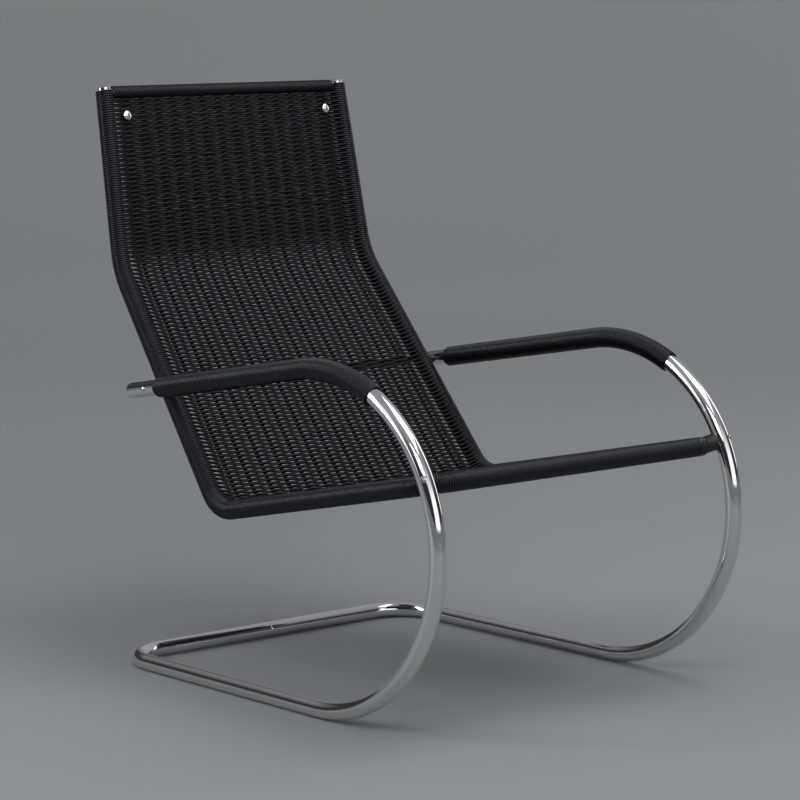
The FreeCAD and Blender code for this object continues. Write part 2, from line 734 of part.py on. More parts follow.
build_frame()
build_seat()
build_front_joints()
build_arm_joints()
build_studs()
check_and_write()
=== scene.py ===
import json
import math

import bpy
import numpy as np
from mathutils import Matrix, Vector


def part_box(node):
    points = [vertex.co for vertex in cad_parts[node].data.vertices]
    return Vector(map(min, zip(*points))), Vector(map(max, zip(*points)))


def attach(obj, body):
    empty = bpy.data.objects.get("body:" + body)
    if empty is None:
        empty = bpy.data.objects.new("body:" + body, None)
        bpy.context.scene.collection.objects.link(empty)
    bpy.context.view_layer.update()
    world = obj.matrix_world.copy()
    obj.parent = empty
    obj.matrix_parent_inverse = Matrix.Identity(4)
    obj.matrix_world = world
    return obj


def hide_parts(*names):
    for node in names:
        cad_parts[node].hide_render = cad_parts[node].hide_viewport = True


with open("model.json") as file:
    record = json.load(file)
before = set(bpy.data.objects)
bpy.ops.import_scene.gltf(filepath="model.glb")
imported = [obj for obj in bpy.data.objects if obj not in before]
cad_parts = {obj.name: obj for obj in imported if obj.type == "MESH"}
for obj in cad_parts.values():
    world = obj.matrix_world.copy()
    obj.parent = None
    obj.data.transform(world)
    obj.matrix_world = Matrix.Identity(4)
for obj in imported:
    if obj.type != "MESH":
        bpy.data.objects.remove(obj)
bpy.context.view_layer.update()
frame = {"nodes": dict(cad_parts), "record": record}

# Lengths are metres. The chair faces -Y; right is the sitter's right, -X.
# What the chair has on both sides is built on its right side and mirrored.

# Chromed frame
TUBE_RADIUS = 0.0125
LOOP_X = 0.293
REAR_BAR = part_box("right_frame_tube")[1][1] - TUBE_RADIUS
REAR_CORNER_RADIUS = 0.075
RUNNER_LENGTH = 0.497
BEND_RADII = (0.275, 0.235, 0.275)
BEND_ANGLES = (63, 82.5, 44)
ARM_OVERRUN = 0.0415
ARM_BARE_LENGTH = 0.0275
ARM_BARE_ANGLE = 8
FRAME_SIDES = 72
JOINT_LIP = 0.0005

# Seat and back frame
SEAT_TUBE_RADIUS = 0.011
SEAT_INSETS = {"top": 0.058, "waist": 0.047, "bottom": 0.0245, "front": 0.011}
TOP_SETBACK, TOP_HEIGHT = 0.0996, 0.8985
WAIST_SETBACK, WAIST_HEIGHT = 0.0459, 0.6166
BOTTOM_REACH, BOTTOM_HEIGHT = 0.2312, 0.2675
FRONT_BAR_CLEARANCE = 0.0122
FRONT_BAR_ANGLE = 26.3
SEAT_RADII = {"waist": 0.14, "bottom": 0.055, "front": 0.04}
TOP_BAR_RADIUS = 0.007
TOP_BAR_DROP = 0.006
CORNER_GAP = 0.004
SPACER_RADIUS = 0.013
SPACER_SIDES = 40
# The stretch of the line from the seat tube's corner to the loop that the spacer fills.
SPACER_SPAN = (0.1, 0.85)

# Cord and weave
CORD_RADIUS = 0.0018
CORD_PITCH = 0.00365
CORD_SIDES = 8
LAY_LENGTH = 0.009
LAY_PLIES = 3
# A wound cord is a little thinner than its pitch, so that its turns show.
WOUND_RADIUS = 0.00172
WOUND_STEPS = 20
END_CLEARANCE = 0.0003
STAKES = 14
STAKE_RADIUS = 0.0019
STAKE_SPREAD = 0.002
STAKE_REST = 0.0038
STAKE_SPAN = 0.88
STAKE_RINGS = 260
WEAVE_SWING = 0.0028
# A strand is wider where it presses on a stake, by this share, and partly so at its ends.
PRESSED_WIDER = 0.27
END_PRESSED = 0.4
ROW_END_STEPS = 4
STEPS_PER_STAKE = 9
ROW_SCATTER = 0.00008
LIFT_SCATTER = 0.0001
WINDING_RADIUS = SEAT_TUBE_RADIUS + 2 * CORD_RADIUS
# A front corner starts where the seat tube's way has this much of X in it, and ends where it has that much.
CORNER_STARTS, CORNER_ENDS = 0.15, 0.995
CORNER_CROWDING = 1 + WINDING_RADIUS / SEAT_RADII["front"]
# Degrees round the tube from its front at which a winding's turn stands at the place of its row.
TURN_AT_ROW = -14
# Where a row that ends in front of the last stake meets the side winding, from the side tube's centre:
# towards the stake and towards the sitter.
INNER_TOUCH = (0.0121, -0.0042)

rng = np.random.default_rng(7)


def unit(vectors):
    return vectors / np.linalg.norm(vectors, axis=-1, keepdims=True)


# Paths

class Path:
    """Straight runs with tangent arcs at the corners, read by length from its start."""

    def __init__(self, corners, radii, arc_steps=48):
        corners = [np.array(corner, float) for corner in corners]
        points = [corners[0]]
        ways = [unit(corners[1] - corners[0])]
        for before, corner, after, radius in zip(corners, corners[1:], corners[2:], radii):
            way_in = unit(corner - before)
            way_out = unit(after - corner)
            turn = math.acos(np.clip(way_in @ way_out, -1, 1))
            start = corner - way_in * radius * math.tan(turn / 2)
            inward = unit(way_out - way_in * (way_in @ way_out))
            for step in range(arc_steps + 1):
                angle = turn * step / arc_steps
                points.append(start + radius * (math.sin(angle) * way_in + (1 - math.cos(angle)) * inward))
                ways.append(math.cos(angle) * way_in + math.sin(angle) * inward)
        points.append(corners[-1])
        ways.append(unit(corners[-1] - corners[-2]))
        self.points = np.array(points)
        self.ways = np.array(ways)
        steps = np.linalg.norm(np.diff(self.points, axis=0), axis=1)
        self.lengths = np.concatenate([[0], np.cumsum(steps)])
        self.length = self.lengths[-1]

    def at(self, lengths):
        """Points and unit tangents at these lengths."""
        points = np.stack([np.interp(lengths, self.lengths, self.points[:, axis]) for axis in range(3)], -1)
        ways = np.stack([np.interp(lengths, self.lengths, self.ways[:, axis]) for axis in range(3)], -1)
        return points, unit(ways)


def loop_bends():
    """The right loop's three bends: each one's corner, its end and the way the tube leads on."""
    point = np.array([-LOOP_X, REAR_BAR - RUNNER_LENGTH, TUBE_RADIUS])
    way = np.array([0.0, -1.0, 0.0])
    heading = 0
    bends = []
    for radius, angle in zip(BEND_RADII, np.radians(BEND_ANGLES)):
        tangent = radius * math.tan(angle / 2)
        corner = point + way * tangent
        heading += angle
        way = np.array([0, -math.cos(heading), math.sin(heading)])
        point = corner + way * tangent
        bends.append((corner, point, way))
    return bends


def seat_corners():
    """Corners of the right half of the seat tube, from the top end to the front corner."""
    x = {name: -LOOP_X + inset for name, inset in SEAT_INSETS.items()}
    end, way = loop_bends()[0][1:]
    centre = end + np.array([0, way[2], -way[1]]) * BEND_RADII[1]
    angle = math.radians(FRONT_BAR_ANGLE)
    reach = BEND_RADII[1] - FRONT_BAR_CLEARANCE
    front_y = centre[1] - math.cos(angle) * reach
    front_z = centre[2] + math.sin(angle) * reach
    return [
        np.array([x["top"], REAR_BAR + TOP_SETBACK, TOP_HEIGHT]),
        np.array([x["waist"], REAR_BAR + WAIST_SETBACK, WAIST_HEIGHT]),
        np.array([x["bottom"], REAR_BAR - BOTTOM_REACH, BOTTOM_HEIGHT]),
        np.array([x["front"], front_y, front_z]),
    ]


def meeting(first, first_way, second, second_way):
    """Where two lines meet in the side view, as a point of the first."""
    across = first_way[1] * second_way[2] - first_way[2] * second_way[1]
    offset = second - first
    return first + first_way * (offset[1] * second_way[2] - offset[2] * second_way[1]) / across


MIRROR = np.array([-1, 1, 1])
SEAT_CORNERS = seat_corners()
TOP, WAIST, BOTTOM, FRONT = SEAT_CORNERS
ARM_START, ARM_WAY = loop_bends()[2][1:]
ARM_CROSSING = meeting(ARM_START, ARM_WAY, BOTTOM, WAIST - BOTTOM)


def frame_path():
    """Centre line of the right frame tube, from the arm's rear end to the middle of the rear bar."""
    bends = loop_bends()
    corners = [ARM_CROSSING + ARM_WAY * ARM_OVERRUN] + [bend[0] for bend in reversed(bends)]
    corners += [np.array([-LOOP_X, REAR_BAR, TUBE_RADIUS]), np.array([0, REAR_BAR, TUBE_RADIUS])]
    return Path(corners, list(reversed(BEND_RADII)) + [REAR_CORNER_RADIUS], 96)


def seat_path():
    """Centre line of the seat tube, from its right top end round the front to the left one."""
    corners = SEAT_CORNERS + [corner * MIRROR for corner in reversed(SEAT_CORNERS)]
    radii = [SEAT_RADII["waist"], SEAT_RADII["bottom"], SEAT_RADII["front"]]
    return Path(corners, radii + radii[::-1])


def profile_path():
    """Seat and back in the chair's middle plane, from the top ends to the front bar."""
    corners = [corner * np.array([0, 1, 1]) for corner in SEAT_CORNERS]
    return Path(corners, [SEAT_RADII["waist"], SEAT_RADII["bottom"]])


FRAME_PATH = frame_path()
SEAT_PATH = seat_path()
PROFILE = profile_path()


def front_normal(ways):
    """Unit vectors square to a path and to the X axis, towards the sitter."""
    flat = ways * np.array([0, 1, 1])
    return unit(np.stack([0 * flat[..., 0], flat[..., 2], -flat[..., 1]], -1))


def in_corner(ways):
    """Whether the seat tube is in the bend of a front corner where it leads these ways."""
    across = np.abs(ways[:, 0])
    return (across > CORNER_STARTS) & (across < CORNER_ENDS)


def seat_normals(points, ways):
    """Towards the sitter, square to the seat tube, also round the front corners."""
    seat_way = unit((FRONT - BOTTOM) * np.array([0, 1, 1]))
    in_front = front_normal(seat_way[None])[0]
    turning = np.abs(ways[:, 0]) > CORNER_STARTS
    left = points[:, 0] > 0
    normals = front_normal(np.where(turning[:, None], seat_way, ways))
    normals[left & ~turning] *= -1
    normals[turning] = in_front
    return unit(normals - ways * np.sum(normals * ways, axis=1, keepdims=True))


# Meshes

def grid_faces(strands, rings, sides):
    """Quads round and along tubes that lie one after another in one list of points."""
    strand, ring, side = np.meshgrid(
        np.arange(strands), np.arange(rings - 1), np.arange(sides), indexing="ij")
    base = strand * rings * sides
    following = (side + 1) % sides
    quads = np.stack([
        base + ring * sides + side,
        base + ring * sides + following,
        base + (ring + 1) * sides + following,
        base + (ring + 1) * sides + side,
    ], -1)
    return quads.reshape(-1, 4), ring.reshape(-1), side.reshape(-1), strand.reshape(-1)


def tubes_mesh(name, centres, normals, radii, sides, material, mirrored=False):
    """Tubes of one mesh. centres and normals are strands x rings x 3; radii fits strands x rings."""
    strands, rings = centres.shape[:2]
    ways = unit(np.gradient(centres, axis=1))
    normals = unit(normals - ways * np.sum(normals * ways, axis=-1, keepdims=True))
    sideways = np.cross(ways, normals)
    angles = np.arange(sides) * 2 * math.pi / sides
    radii = np.broadcast_to(radii, (strands, rings))[..., None, None]
    around = np.cos(angles)[:, None] * normals[:, :, None] + np.sin(angles)[:, None] * sideways[:, :, None]
    points = centres[:, :, None] + radii * around
    if mirrored:
        points = points * MIRROR
    quads, ring, side, strand = grid_faces(strands, rings, sides)
    if mirrored:
        quads = quads[:, ::-1]
    run = np.linalg.norm(np.diff(centres, axis=1), axis=-1)
    run = np.concatenate([np.zeros((strands, 1)), np.cumsum(run, axis=1)], axis=1)
    mesh = bpy.data.meshes.new(name)
    mesh.vertices.add(points.size // 3)
    mesh.vertices.foreach_set("co", points.reshape(-1))
    mesh.loops.add(quads.size)
    mesh.loops.foreach_set("vertex_index", quads.reshape(-1))
    mesh.polygons.add(len(quads))
    mesh.polygons.foreach_set("loop_start", np.arange(len(quads)) * 4)
    mesh.polygons.foreach_set("use_smooth", np.ones(len(quads), bool))
    layer = mesh.uv_layers.new(name="along")
    start, end = run[strand, ring], run[strand, ring + 1]
    low, high = side / sides, (side + 1) / sides
    corners = np.stack([
        np.stack([start, low], -1), np.stack([start, high], -1),
        np.stack([end, high], -1), np.stack([end, low], -1)], 1)
    if mirrored:
        corners = corners[:, ::-1]
    layer.data.foreach_set("uv", corners.reshape(-1))
    mesh.update(calc_edges=True)
    mesh.validate()
    mesh.materials.append(material)
    piece = bpy.data.objects.new(name, mesh)
    bpy.context.collection.objects.link(piece)
    return piece


def add_piece(piece, slot, *nodes):
    """Puts a piece on the chair in place of CAD nodes."""
    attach(piece, "root")
    if nodes:
        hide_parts(*nodes)
    return piece


def tapered_ends(count, radius, rings=3):
    """Radii of a strand whose ends are drawn to a point."""
    radii = np.full(count, radius)
    ease = np.sin(np.linspace(0.05, math.pi / 2, rings))
    radii[:rings] = radius * ease
    radii[-rings:] = radius * ease[::-1]
    return radii


# Materials

def new_material(name):
    material = bpy.data.materials.new(name)
    material.use_nodes = True
    nodes = material.node_tree.nodes
    return material, nodes, material.node_tree.links, nodes["Principled BSDF"]


def noise_between(nodes, links, coordinate, scale, low, high, detail=4.0):
    """A noise value stretched to run from low to high."""
    noise = nodes.new("ShaderNodeTexNoise")
    noise.inputs["Scale"].default_value = scale
    noise.inputs["Detail"].default_value = detail
    links.new(coordinate, noise.inputs["Vector"])
    spread = nodes.new("ShaderNodeMapRange")
    spread.inputs["From Min"].default_value = 0.3
    spread.inputs["From Max"].default_value = 0.7
    spread.inputs["To Min"].default_value = low
    spread.inputs["To Max"].default_value = high
    links.new(noise.outputs["Fac"], spread.inputs["Value"])
    return spread.outputs["Result"]


def bump(nodes, links, shader, height, strength, distance):
    node = nodes.new("ShaderNodeBump")
    node.inputs["Strength"].default_value = strength
    node.inputs["Distance"].default_value = distance
    links.new(height, node.inputs["Height"])
    links.new(node.outputs["Normal"], shader.inputs["Normal"])


def chrome_material():
    """Polished chrome with faint handling haze and hairline scratches."""
    material, nodes, links, shader = new_material("polished_chrome")
    where = nodes.new("ShaderNodeTexCoord").outputs["Object"]
    shader.inputs["Metallic"].default_value = 1
    shader.inputs["Base Color"].default_value = (0.74, 0.75, 0.77, 1)
    haze = noise_between(nodes, links, where, 18, 0.02, 0.055, 6)
    links.new(haze, shader.inputs["Roughness"])
    stretch = nodes.new("ShaderNodeMapping")
    stretch.inputs["Scale"].default_value = (400, 60, 400)
    links.new(where, stretch.inputs["Vector"])
    scratches = noise_between(nodes, links, stretch.outputs["Vector"], 1, 0, 1, 2)
    bump(nodes, links, shader, scratches, 0.03, 0.0002)
    return material


def steel_material():
    """Plain bright steel of screws, washers and nuts."""
    material, nodes, links, shader = new_material("bright_steel")
    where = nodes.new("ShaderNodeTexCoord").outputs["Object"]
    shader.inputs["Metallic"].default_value = 1
    shader.inputs["Base Color"].default_value = (0.58, 0.58, 0.6, 1)
    links.new(noise_between(nodes, links, where, 300, 0.16, 0.3), shader.inputs["Roughness"])
    grain = noise_between(nodes, links, where, 2500, 0, 1)
    bump(nodes, links, shader, grain, 0.15, 0.0001)
    return material


def spacer_material():
    """Black moulded plastic with a fine grain."""
    material, nodes, links, shader = new_material("black_moulded_plastic")
    where = nodes.new("ShaderNodeTexCoord").outputs["Object"]
    shader.inputs["Base Color"].default_value = (0.012, 0.012, 0.013, 1)
    links.new(noise_between(nodes, links, where, 200, 0.32, 0.5), shader.inputs["Roughness"])
    grain = noise_between(nodes, links, where, 1800, 0, 1)
    bump(nodes, links, shader, grain, 0.25, 0.0001)
    return material


def cord_material(name, roughness, lay_strength, gloss):
    """Black waxed cord: a twisted lay along each strand, with worn and dusty stretches."""
    material, nodes, links, shader = new_material(name)
    coordinates = nodes.new("ShaderNodeTexCoord")
    where = coordinates.outputs["Object"]
    split = nodes.new("ShaderNodeSeparateXYZ")
    links.new(coordinates.outputs["UV"], split.inputs["Vector"])
    along = nodes.new("ShaderNodeMath")
    along.operation = "MULTIPLY_ADD"
    along.inputs[1].default_value = 1 / LAY_LENGTH
    links.new(split.outputs["X"], along.inputs[0])
    links.new(split.outputs["Y"], along.inputs[2])
    turn = nodes.new("ShaderNodeMath")
    turn.operation = "MULTIPLY"
    turn.inputs[1].default_value = 2 * math.pi * LAY_PLIES
    links.new(along.outputs["Value"], turn.inputs[0])
    ridge = nodes.new("ShaderNodeMath")
    ridge.operation = "SINE"
    links.new(turn.outputs["Value"], ridge.inputs[0])
    bump(nodes, links, shader, ridge.outputs["Value"], lay_strength, 0.0002)
    wear = noise_between(nodes, links, where, 60, 0, 1, 5)
    shade = nodes.new("ShaderNodeMix")
    shade.data_type = "RGBA"
    shade.inputs["A"].default_value = (0.0018, 0.0023, 0.0031, 1)
    shade.inputs["B"].default_value = (0.0042, 0.0050, 0.0062, 1)
    links.new(wear, shade.inputs["Factor"])
    links.new(shade.outputs["Result"], shader.inputs["Base Color"])
    links.new(noise_between(nodes, links, where, 90, roughness - 0.06, roughness + 0.07),
              shader.inputs["Roughness"])
    shader.inputs["Specular IOR Level"].default_value = gloss
    shader.inputs["Specular Tint"].default_value = (0.84, 0.94, 1, 1)
    return material


CHROME = chrome_material()
STEEL = steel_material()
SPACER = spacer_material()
ARM_CORD = cord_material("arm_cord", 0.31, 0.03, 0.5)
SEAT_CORD = cord_material("seat_cord", 0.32, 0.04, 0.48)
WEAVE_CORD = cord_material("weave_cord", 0.38, 0.1, 0.24)


# Windings

def helix(name, path, start, end, tube_radius, turns_of, normals_of, material, mirrored=False):
    """One cord wound round a tube between two lengths of its path."""
    count = int((end - start) / CORD_PITCH * WOUND_STEPS) + 1
    lengths = np.linspace(start, end, count)
    points, ways = path.at(lengths)
    normals = normals_of(points, ways)
    sideways = np.cross(ways, normals)
    angles = turns_of(lengths) * 2 * math.pi
    out = np.cos(angles)[:, None] * normals + np.sin(angles)[:, None] * sideways
    centres = points + out * (tube_radius + CORD_RADIUS)
    radii = tapered_ends(count, WOUND_RADIUS)
    return tubes_mesh(name, centres[None], out[None], radii, CORD_SIDES, material, mirrored)


def even_turns(lengths):
    return lengths / CORD_PITCH


def arm_normals(points, ways):
    return np.broadcast_to(np.array([1.0, 0, 0]), points.shape).copy()


def arm_windings():
    straight = ARM_OVERRUN + np.linalg.norm(ARM_START - ARM_CROSSING)
    wound_arc = math.radians(BEND_ANGLES[2] - ARM_BARE_ANGLE) * BEND_RADII[2]
    start = ARM_OVERRUN + ARM_BARE_LENGTH + CORD_RADIUS
    end = straight + wound_arc - CORD_RADIUS
    for side, mirrored in (("right", False), ("left", True)):
        cord = helix(f"{side}_arm_cord", FRAME_PATH, start, end, TUBE_RADIUS,
                     even_turns, arm_normals, ARM_CORD, mirrored)
        add_piece(cord, "arm_cord", f"{side}_arm_winding")


# Rows of weft lie at even steps down the profile, one to each turn of the side windings.
FIRST_ROW = TOP_BAR_DROP + TOP_BAR_RADIUS + 2 * CORD_RADIUS + CORD_RADIUS
LAST_ROW = PROFILE.length - WINDING_RADIUS - CORD_RADIUS
ROWS = int((LAST_ROW - FIRST_ROW) / CORD_PITCH)
ROW_PLACES = FIRST_ROW + CORD_PITCH * np.arange(ROWS)


def touch_point(stake_x, stake_n):
    """Where a strand from the last stake touches the front of the side tube's winding.

    It is seen along the tube: x runs from the tube's centre towards the stake and n towards the sitter."""
    radius = SEAT_TUBE_RADIUS + CORD_RADIUS
    spread = math.acos(radius / math.hypot(stake_x, stake_n))
    angle = math.atan2(stake_n, stake_x) + spread
    return radius * math.cos(angle), radius * math.sin(angle)


def seat_turns(in_step):
    """Turns of a winding by length of the seat tube, crowded round the front corners.

    In step, a side winding makes one turn for each row of weft."""
    steps = np.diff(SEAT_PATH.points, axis=0)
    full = np.linalg.norm(steps, axis=1)
    straight = np.linalg.norm(steps * np.array([0, 1, 1]), axis=1) if in_step else full
    advance = np.where(in_corner(SEAT_PATH.ways[1:]), full * CORNER_CROWDING, straight)
    down = np.concatenate([[0], np.cumsum(advance)])
    set_back = math.radians(TURN_AT_ROW) / (2 * math.pi)

    def turns_of(at):
        return (np.interp(at, SEAT_PATH.lengths, down) - FIRST_ROW) / CORD_PITCH + set_back
    return turns_of


def corner_length():
    """Length of the seat path to the middle of its right front corner."""
    right = SEAT_PATH.points[:, 0] < -LOOP_X / 2
    return SEAT_PATH.lengths[in_corner(SEAT_PATH.ways) & right].mean()


def seat_windings():
    corner = corner_length()
    gap = CORNER_GAP / 2 + CORD_RADIUS
    for side, mirrored in (("right", False), ("left", True)):
        cord = helix(f"{side}_side_cord", SEAT_PATH, CORD_RADIUS + END_CLEARANCE, corner - gap,
                     SEAT_TUBE_RADIUS, seat_turns(True), seat_normals, SEAT_CORD, mirrored)
        add_piece(cord, "seat_cord", f"{side}_side_winding")
    front = helix("front_bar_cord", SEAT_PATH, corner + gap, SEAT_PATH.length - corner - gap,
                  SEAT_TUBE_RADIUS, seat_turns(False), seat_normals, SEAT_CORD)
    add_piece(front, "seat_cord", "front_bar_winding")
    bar, ways = PROFILE.at(np.array([TOP_BAR_DROP]))
    reach = -TOP[0] - WINDING_RADIUS + CORD_RADIUS
    ends = [bar[0] + np.array([side * reach, 0, 0]) for side in (-1, 1)]
    top_path = Path(ends, [])
    normal = front_normal(ways)[0]

    def top_normals(points, ways):
        return np.broadcast_to(normal, points.shape).copy()
    top = helix("top_bar_cord", top_path, 0, top_path.length, TOP_BAR_RADIUS,
                even_turns, top_normals, SEAT_CORD)
    add_piece(top, "seat_cord", "top_bar_winding")


# Weave

def tube_half_width(places):
    """Half the width between the side tubes' centres, down the profile, leaving out the corners."""
    corner_places = [0.0]
    for before, after in zip(SEAT_CORNERS, SEAT_CORNERS[1:]):
        corner_places.append(corner_places[-1] + np.linalg.norm((after - before)[1:]))
    corner_places = np.array(corner_places) * PROFILE.length / corner_places[-1]
    return np.interp(places, corner_places, [-corner[0] for corner in SEAT_CORNERS])


def woven_width(places):
    """Half the width between the side windings."""
    return tube_half_width(places) - WINDING_RADIUS


def stake_span(places):
    """Half the distance between the outermost stakes."""
    return woven_width(places) * STAKE_SPAN


def stake_lines():
    """The stakes run down the whole panel, evenly spaced across it, two cords side by side in each."""
    places = np.linspace(TOP_BAR_DROP, PROFILE.length, STAKE_RINGS)
    points, ways = PROFILE.at(places)
    normals = front_normal(ways)
    shares = np.repeat(np.linspace(-1, 1, STAKES), 2)
    sides = np.tile([-STAKE_SPREAD, STAKE_SPREAD], STAKES)
    centres = np.repeat(points[None], 2 * STAKES, axis=0)
    centres[..., 0] = shares[:, None] * stake_span(places)[None] + sides[:, None]
    stakes = tubes_mesh("panel_stakes", centres, np.repeat(normals[None], 2 * STAKES, axis=0),
                        STAKE_RADIUS, CORD_SIDES, WEAVE_CORD)
    return add_piece(stakes, "weave")


def weave_lift(stakes_passed, spacing):
    """How far a row stands towards the sitter: level over and under a stake, straight in between."""
    phase = np.mod(stakes_passed, 2)
    slope = 1 - 2 * np.minimum(phase, 2 - phase)
    steepness = spacing / (spacing - 2 * STAKE_REST)
    return WEAVE_SWING * np.clip(slope * steepness, -1, 1)


def row_end(row, x, lift):
    """The stretch of one row from the right side tube's winding to its first place on a stake.

    A row from behind the last stake runs to the front of the side tube, any other to its inner side."""
    centre = -tube_half_width(ROW_PLACES[row])
    touch_x, touch_n = touch_point(x - centre, lift) if lift < 0 else INNER_TOUCH
    share = np.linspace(0, 1, ROW_END_STEPS + 1)[:-1]
    return centre + touch_x + (x - centre - touch_x) * share, touch_n + (lift - touch_n) * share


def weft_rows():
    """Rows of weft, over and under the stakes in turn, their ends running on to the side windings."""
    points, ways = PROFILE.at(ROW_PLACES + rng.normal(0, ROW_SCATTER, ROWS))
    normals = front_normal(ways)
    span = stake_span(ROW_PLACES)[:, None]
    spacing = 2 * span / (STAKES - 1)
    inner = np.linspace(0, 1, (STAKES - 1) * STEPS_PER_STAKE + 1)[None] * 2 * span
    passed = np.concatenate([0 * span - STAKE_REST, inner, 2 * span + STAKE_REST], axis=1) / spacing
    across = passed * spacing - span
    sign = np.where(np.arange(ROWS) % 2 == 0, 1.0, -1.0)[:, None]
    lift = sign * weave_lift(passed, spacing) + rng.normal(0, LIFT_SCATTER, passed.shape)
    right = [row_end(row, across[row, 0], lift[row, 0]) for row in range(ROWS)]
    left = [row_end(row, -across[row, -1], lift[row, -1]) for row in range(ROWS)]
    right_x, right_n = (np.array([end[part] for end in right]) for part in (0, 1))
    left_x, left_n = (np.array([end[part] for end in left])[:, ::-1] for part in (0, 1))
    across = np.concatenate([right_x, across, -left_x], axis=1)
    lift = np.concatenate([right_n, lift, left_n], axis=1)
    pressed = np.clip(np.abs(lift) / WEAVE_SWING, 0, 1) ** 2
    pressed[:, :ROW_END_STEPS] = END_PRESSED
    pressed[:, -ROW_END_STEPS:] = END_PRESSED
    radii = CORD_RADIUS * (1 + PRESSED_WIDER * pressed)
    centres = points[:, None] + normals[:, None] * lift[..., None]
    centres[..., 0] = across
    normals = np.broadcast_to(normals[:, None], centres.shape).copy()
    weft = tubes_mesh("woven_weft", centres, normals, radii, CORD_SIDES, WEAVE_CORD)
    return add_piece(weft, "weave", "woven_panel")


# Chromed tubes

def frame_tubes():
    """Both halves of the chromed frame as smooth tubes, turned in a little at the butt joint."""
    lengths = FRAME_PATH.lengths[np.diff(FRAME_PATH.lengths, prepend=-1) > 0.00001]
    lengths = np.append(lengths[:-1], FRAME_PATH.length - JOINT_LIP * np.array([6, 3, 1, 0]))
    points, ways = FRAME_PATH.at(lengths)
    at_rear = np.abs(ways[:, 0]) > 0.001
    normals = np.where(at_rear[:, None], np.array([0, 0, -1.0]), np.cross(ways, [1.0, 0, 0]))
    radii = np.full(len(lengths), TUBE_RADIUS)
    radii[-1] -= JOINT_LIP
    for side, mirrored in (("right", False), ("left", True)):
        tube = tubes_mesh(f"{side}_chrome_tube", points[None], normals[None], radii, FRAME_SIDES,
                          CHROME, mirrored)
        add_piece(tube, "chrome", f"{side}_frame_tube")


def front_spacers():
    """Black spacers between the front loops and the seat tube's corners."""
    corner = SEAT_PATH.at(np.array([corner_length()]))[0][0]
    distances = np.linalg.norm(FRAME_PATH.points - corner, axis=1)
    loop = FRAME_PATH.points[np.argmin(distances)]
    edges = np.array([0.001, 0.0003, 0, 0, 0.0003, 0.001])
    share = np.linspace(*SPACER_SPAN, len(edges))[:, None]
    centres = corner + (loop - corner) * share
    normals = np.broadcast_to(np.array([0, 0, 1.0]), centres.shape).copy()
    for side, mirrored in (("right", False), ("left", True)):
        spacer = tubes_mesh(f"{side}_joint_spacer", centres[None], normals[None],
                            SPACER_RADIUS - edges, SPACER_SIDES, SPACER, mirrored)
        add_piece(spacer, "black_plastic", f"{side}_front_spacer")


def dress_nodes():
    """Every CAD node that stays in sight gets its finish."""
    finishes = {
        "chrome": CHROME, "seat_steel": CHROME, "plain_steel": STEEL, "fastener_steel": STEEL,
        "black_plastic": SPACER, "arm_cord": ARM_CORD, "seat_cord": SEAT_CORD, "weave": WEAVE_CORD,
    }
    for entry in frame["record"]["subparts"]:
        node = frame["nodes"][entry["node"]]
        for slot in node.material_slots:
            slot.material = finishes[entry["material_slot"]]


# Studio

BACKDROP = (0.188, 0.203, 0.208, 1)
CEILING = (0.32, 0.32, 0.33, 1)
# How bright the studio is round the chair: share of a full turn, from -X by -Y, +X and +Y, and level.
WALLS = ((0, 0.03), (0.15, 0.03), (0.17, 1.4), (0.3, 1.4), (0.33, 0.04), (0.45, 0.04), (0.5, 0.4),
         (0.62, 0.4), (0.68, 0.04), (0.885, 0.04), (0.905, 1.3), (0.955, 1.3), (0.975, 0.03), (1, 0.03))
# The floor's grey, with painted shade: darker round the chair and lighter with distance from it. Pairs of
# distance from the chair, as a share of FLOOR_FADE, and level.
FLOOR_FADE = 12
FLOOR_SHADE_GREYS = ((0, 0.3), (0.125, 0.34), (0.25, 0.43), (0.5, 0.53), (1, 0.575))
FLOOR_TINT = (0.93, 1, 1.03)
CAMERA_BEHIND_BAR = -3.9009
CAMERA_X, CAMERA_Z = -2.9939, 1.0351
YAW, PITCH, ROLL = (math.radians(angle) for angle in (40.06, 7.48, -0.45))
LENS = 137.28


def add_camera():
    """The photograph's camera; yaw turns it from +Y towards +X, pitch looks down."""
    forward = np.array([math.sin(YAW) * math.cos(PITCH), math.cos(YAW) * math.cos(PITCH), -math.sin(PITCH)])
    level = np.array([math.cos(YAW), -math.sin(YAW), 0])
    upward = np.cross(level, forward)
    right = math.cos(ROLL) * level + math.sin(ROLL) * upward
    up = math.cos(ROLL) * upward - math.sin(ROLL) * level
    data = bpy.data.cameras.new("camera")
    data.lens = LENS
    data.sensor_width = 36
    camera = bpy.data.objects.new("camera", data)
    bpy.context.collection.objects.link(camera)
    place = (CAMERA_X, REAR_BAR + CAMERA_BEHIND_BAR, CAMERA_Z)
    columns = [list(right) + [0], list(up) + [0], list(-forward) + [0], list(place) + [1]]
    camera.matrix_world = Matrix(columns).transposed()
    bpy.context.scene.camera = camera


def ramp(nodes, stops, tint=(1, 1, 1)):
    """A colour ramp from pairs of place and level."""
    node = nodes.new("ShaderNodeValToRGB")
    elements = node.color_ramp.elements
    elements[0].position, elements[-1].position = stops[0][0], stops[-1][0]
    for place, level in stops[1:-1]:
        elements.new(place)
    for element, (place, level) in zip(elements, stops):
        element.color = [level * channel for channel in tint] + [1]
    return node


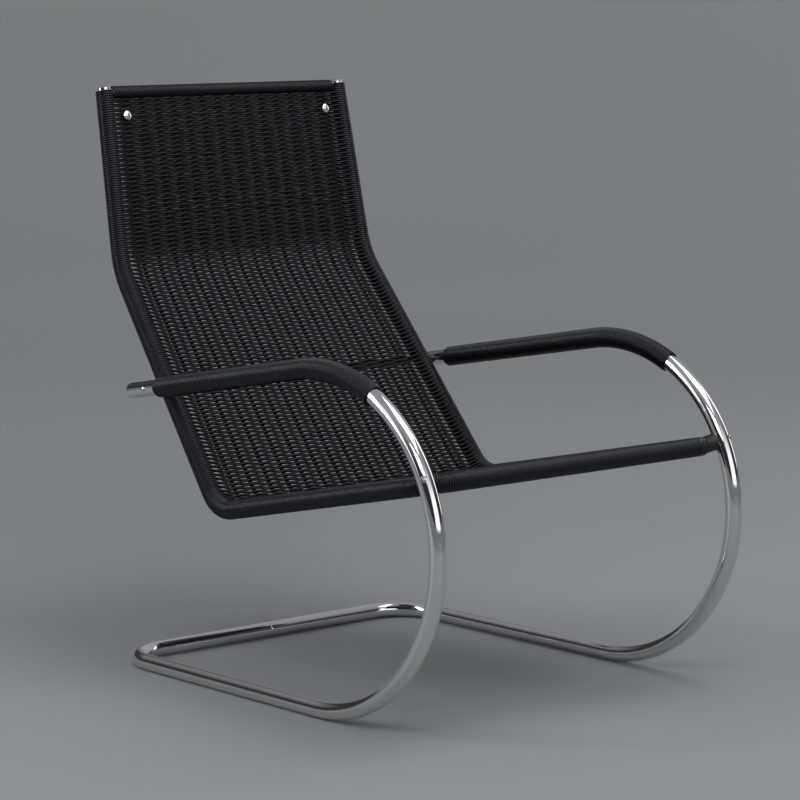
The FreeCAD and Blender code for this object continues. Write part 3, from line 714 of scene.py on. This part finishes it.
def add_floor():
    mesh = bpy.data.meshes.new("floor")
    reach = 400
    mesh.from_pydata([(-reach, -reach, 0), (reach, -reach, 0), (reach, reach, 0), (-reach, reach, 0)],
                     [], [(0, 1, 2, 3)])
    floor = bpy.data.objects.new("floor", mesh)
    bpy.context.collection.objects.link(floor)
    material, nodes, links, shader = new_material("pale_floor")
    where = nodes.new("ShaderNodeTexCoord").outputs["Object"]
    reached = nodes.new("ShaderNodeVectorMath")
    reached.operation = "LENGTH"
    links.new(where, reached.inputs[0])
    share = nodes.new("ShaderNodeMapRange")
    share.inputs["From Max"].default_value = FLOOR_FADE
    links.new(reached.outputs["Value"], share.inputs["Value"])
    # Painted shade: the floor's colour is darkest round the chair and grows lighter with distance from it.
    grey = ramp(nodes, FLOOR_SHADE_GREYS, FLOOR_TINT)
    links.new(share.outputs["Result"], grey.inputs["Fac"])
    links.new(grey.outputs["Color"], shader.inputs["Base Color"])
    shader.inputs["Roughness"].default_value = 0.6
    shader.inputs["Specular IOR Level"].default_value = 0.1
    mesh.materials.append(material)


def add_softbox(name, place, target, size, power):
    data = bpy.data.lights.new(name, "AREA")
    data.shape = "RECTANGLE"
    data.size, data.size_y = size
    data.energy = power
    lamp = bpy.data.objects.new(name, data)
    bpy.context.collection.objects.link(lamp)
    way = np.array(target, float) - np.array(place, float)
    back = -unit(way)
    side = unit(np.cross([0, 0, 1.0], back) if abs(back[2]) < 0.999 else np.array([1.0, 0, 0]))
    up = np.cross(back, side)
    columns = [list(side) + [0], list(up) + [0], list(back) + [0], list(place) + [1]]
    lamp.matrix_world = Matrix(columns).transposed()


def blend(nodes, links, factor, low, high):
    """Runs from one node's colour to a plain one."""
    node = nodes.new("ShaderNodeMix")
    node.data_type = "RGBA"
    node.inputs["B"].default_value = high
    links.new(factor, node.inputs["Factor"])
    links.new(low, node.inputs["A"])
    return node.outputs["Result"]


def add_world():
    """A studio with two pale walls and a dark side, grey overhead and one even grey near the ground."""
    world = bpy.data.worlds.new("studio")
    bpy.context.scene.world = world
    world.use_nodes = True
    nodes, links = world.node_tree.nodes, world.node_tree.links
    direction = nodes.new("ShaderNodeTexCoord").outputs["Generated"]
    split = nodes.new("ShaderNodeSeparateXYZ")
    links.new(direction, split.inputs["Vector"])
    bearing = nodes.new("ShaderNodeMath")
    bearing.operation = "ARCTAN2"
    links.new(split.outputs["Y"], bearing.inputs[0])
    links.new(split.outputs["X"], bearing.inputs[1])
    turn = nodes.new("ShaderNodeMapRange")
    turn.inputs["From Min"].default_value = -math.pi
    turn.inputs["From Max"].default_value = math.pi
    links.new(bearing.outputs["Value"], turn.inputs["Value"])
    walls = ramp(nodes, WALLS)
    links.new(turn.outputs["Result"], walls.inputs["Fac"])
    near_ground = ramp(nodes, ((0.1, 1), (0.15, 0)))
    links.new(split.outputs["Z"], near_ground.inputs["Fac"])
    studio = blend(nodes, links, near_ground.outputs["Color"], walls.outputs["Color"], BACKDROP)
    rise = ramp(nodes, ((0.4, 0), (0.75, 1)))
    links.new(split.outputs["Z"], rise.inputs["Fac"])
    studio = blend(nodes, links, rise.outputs["Color"], studio, CEILING)
    background = nodes["Background"]
    links.new(studio, background.inputs["Color"])
    background.inputs["Strength"].default_value = 1


def add_lights():
    chair = (0, 0, 0.45)
    add_softbox("overhead", (0.5, -0.9, 3.0), chair, (2.4, 1.6), 34)
    add_softbox("front_box", (-2.0, -2.1, 2.6), chair, (1.6, 1.0), 20)
    add_softbox("left_strip", (-2.6, 1.2, 1.8), chair, (0.7, 2.2), 28)
    add_softbox("right_strip", (2.8, -0.6, 1.5), chair, (0.7, 2.0), 8)


dress_nodes()
arm_windings()
seat_windings()
stake_lines()
weft_rows()
frame_tubes()
front_spacers()
add_camera()
add_floor()
add_lights()
add_world()
bpy.context.scene.view_settings.view_transform = "Standard"
